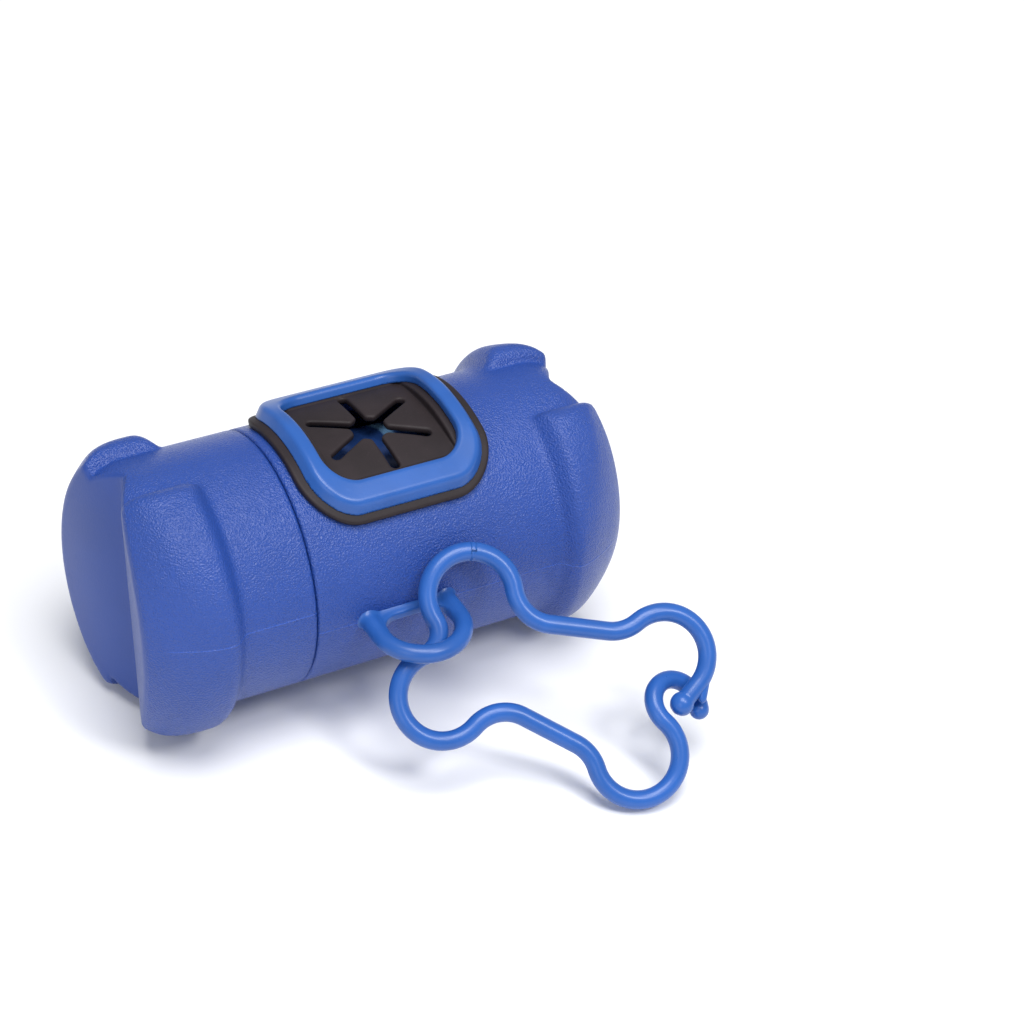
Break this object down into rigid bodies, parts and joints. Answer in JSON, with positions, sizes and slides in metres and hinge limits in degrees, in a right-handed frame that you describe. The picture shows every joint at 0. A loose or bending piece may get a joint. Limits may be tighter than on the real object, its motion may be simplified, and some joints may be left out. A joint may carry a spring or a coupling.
{
  "type": "dog waste bag dispenser",
  "caption": "Bone-shaped dispenser for a roll of dog waste bags, in blue plastic, with a screw cap, a rubber star that the bags are drawn through, and a bone-shaped clip.",
  "frame": {"origin": "The centre of the lug's eye, on the middle plane of the tube.", "axes": "+X along the tube, away from the cap; -Y out of the lug; +Z out of the star."},
  "size_m": [0.0792, 0.0738, 0.0427],
  "materials": {
    "shell": "royal blue plastic with a fine leather-like grain",
    "trim": "smooth lighter blue plastic with a soft gloss",
    "rubber": "matte dark grey rubber",
    "board": "brown wound cardboard",
    "film": "thin blue film, wound and pressed flat, glossy"
  },
  "bodies": {
    "body": {"body_shell": "shell", "lug": "trim", "bezel": "trim", "star_sheet": "rubber"},
    "roll_core": {"roll_core": "board"},
    "bag_roll": {"bag_roll": "film"},
    "cap": {"cap_shell": "shell"},
    "clip": {"bone_clip": "trim"},
    "clip_arm": {"clip_arm": "trim"},
    "flap_1": {"star_flap_1": "rubber"},
    "flap_2": {"star_flap_2": "rubber"},
    "flap_3": {"star_flap_3": "rubber"},
    "flap_4": {"star_flap_4": "rubber"},
    "flap_5": {"star_flap_5": "rubber"},
    "flap_6": {"star_flap_6": "rubber"}
  },
  "joints": [
    {"name": "roll_draw", "type": "slide", "parent": "body", "child": "roll_core", "axis": [-1, 0, 0], "range_m": [0, 0.065]},
    {"name": "roll_spin", "type": "hinge", "parent": "roll_core", "child": "bag_roll", "pos_m": [0, 0.023, 0], "axis": [1, 0, 0], "continuous": true},
    {"name": "cap_turn", "type": "hinge", "parent": "roll_core", "child": "cap", "pos_m": [-0.014, 0.023, 0], "axis": [-1, 0, 0], "range_deg": [0, 540]},
    {"name": "clip_swing", "type": "hinge", "parent": "body", "child": "clip", "pos_m": [-0.0006, -0.00613, 0], "axis": [0.24, -0.73, 0.64], "range_deg": [-8, 50]},
    {"name": "clip_open", "type": "hinge", "parent": "clip", "child": "clip_arm", "pos_m": [0.00996, 0.00282, 0.0081], "axis": [-0.2098, -0.6954, 0.6873], "range_deg": [0, 16], "stiffness_Nm_per_rad": 0.02},
    {"name": "flap_1_bend", "type": "hinge", "parent": "body", "child": "flap_1", "pos_m": [0.0064, 0.02975, 0.01813], "axis": [-0.8629, 0.4982, -0.0853], "range_deg": [0, 45], "stiffness_Nm_per_rad": 0.0005},
    {"name": "flap_2_bend", "type": "hinge", "parent": "body", "child": "flap_2", "pos_m": [-0.0014, 0.02975, 0.01813], "axis": [-0.8629, -0.4982, 0.0853], "range_deg": [0, 45], "stiffness_Nm_per_rad": 0.0005},
    {"name": "flap_3_bend", "type": "hinge", "parent": "body", "child": "flap_3", "pos_m": [-0.00529, 0.023, 0.0187], "axis": [0, -1, 0], "range_deg": [0, 45], "stiffness_Nm_per_rad": 0.0005},
    {"name": "flap_4_bend", "type": "hinge", "parent": "body", "child": "flap_4", "pos_m": [-0.0014, 0.01625, 0.01813], "axis": [0.8629, -0.4982, -0.0853], "range_deg": [0, 45], "stiffness_Nm_per_rad": 0.0005},
    {"name": "flap_5_bend", "type": "hinge", "parent": "body", "child": "flap_5", "pos_m": [0.0064, 0.01625, 0.01813], "axis": [0.8629, 0.4982, 0.0853], "range_deg": [0, 45], "stiffness_Nm_per_rad": 0.0005},
    {"name": "flap_6_bend", "type": "hinge", "parent": "body", "child": "flap_6", "pos_m": [0.01029, 0.023, 0.0187], "axis": [0, 1, 0], "range_deg": [0, 45], "stiffness_Nm_per_rad": 0.0005}
  ],
  "couplings": [
    {"joint": "flap_2_bend", "follows": "flap_1_bend", "ratio": 1},
    {"joint": "flap_3_bend", "follows": "flap_1_bend", "ratio": 1},
    {"joint": "flap_4_bend", "follows": "flap_1_bend", "ratio": 1},
    {"joint": "flap_5_bend", "follows": "flap_1_bend", "ratio": 1},
    {"joint": "flap_6_bend", "follows": "flap_1_bend", "ratio": 1}
  ]
}
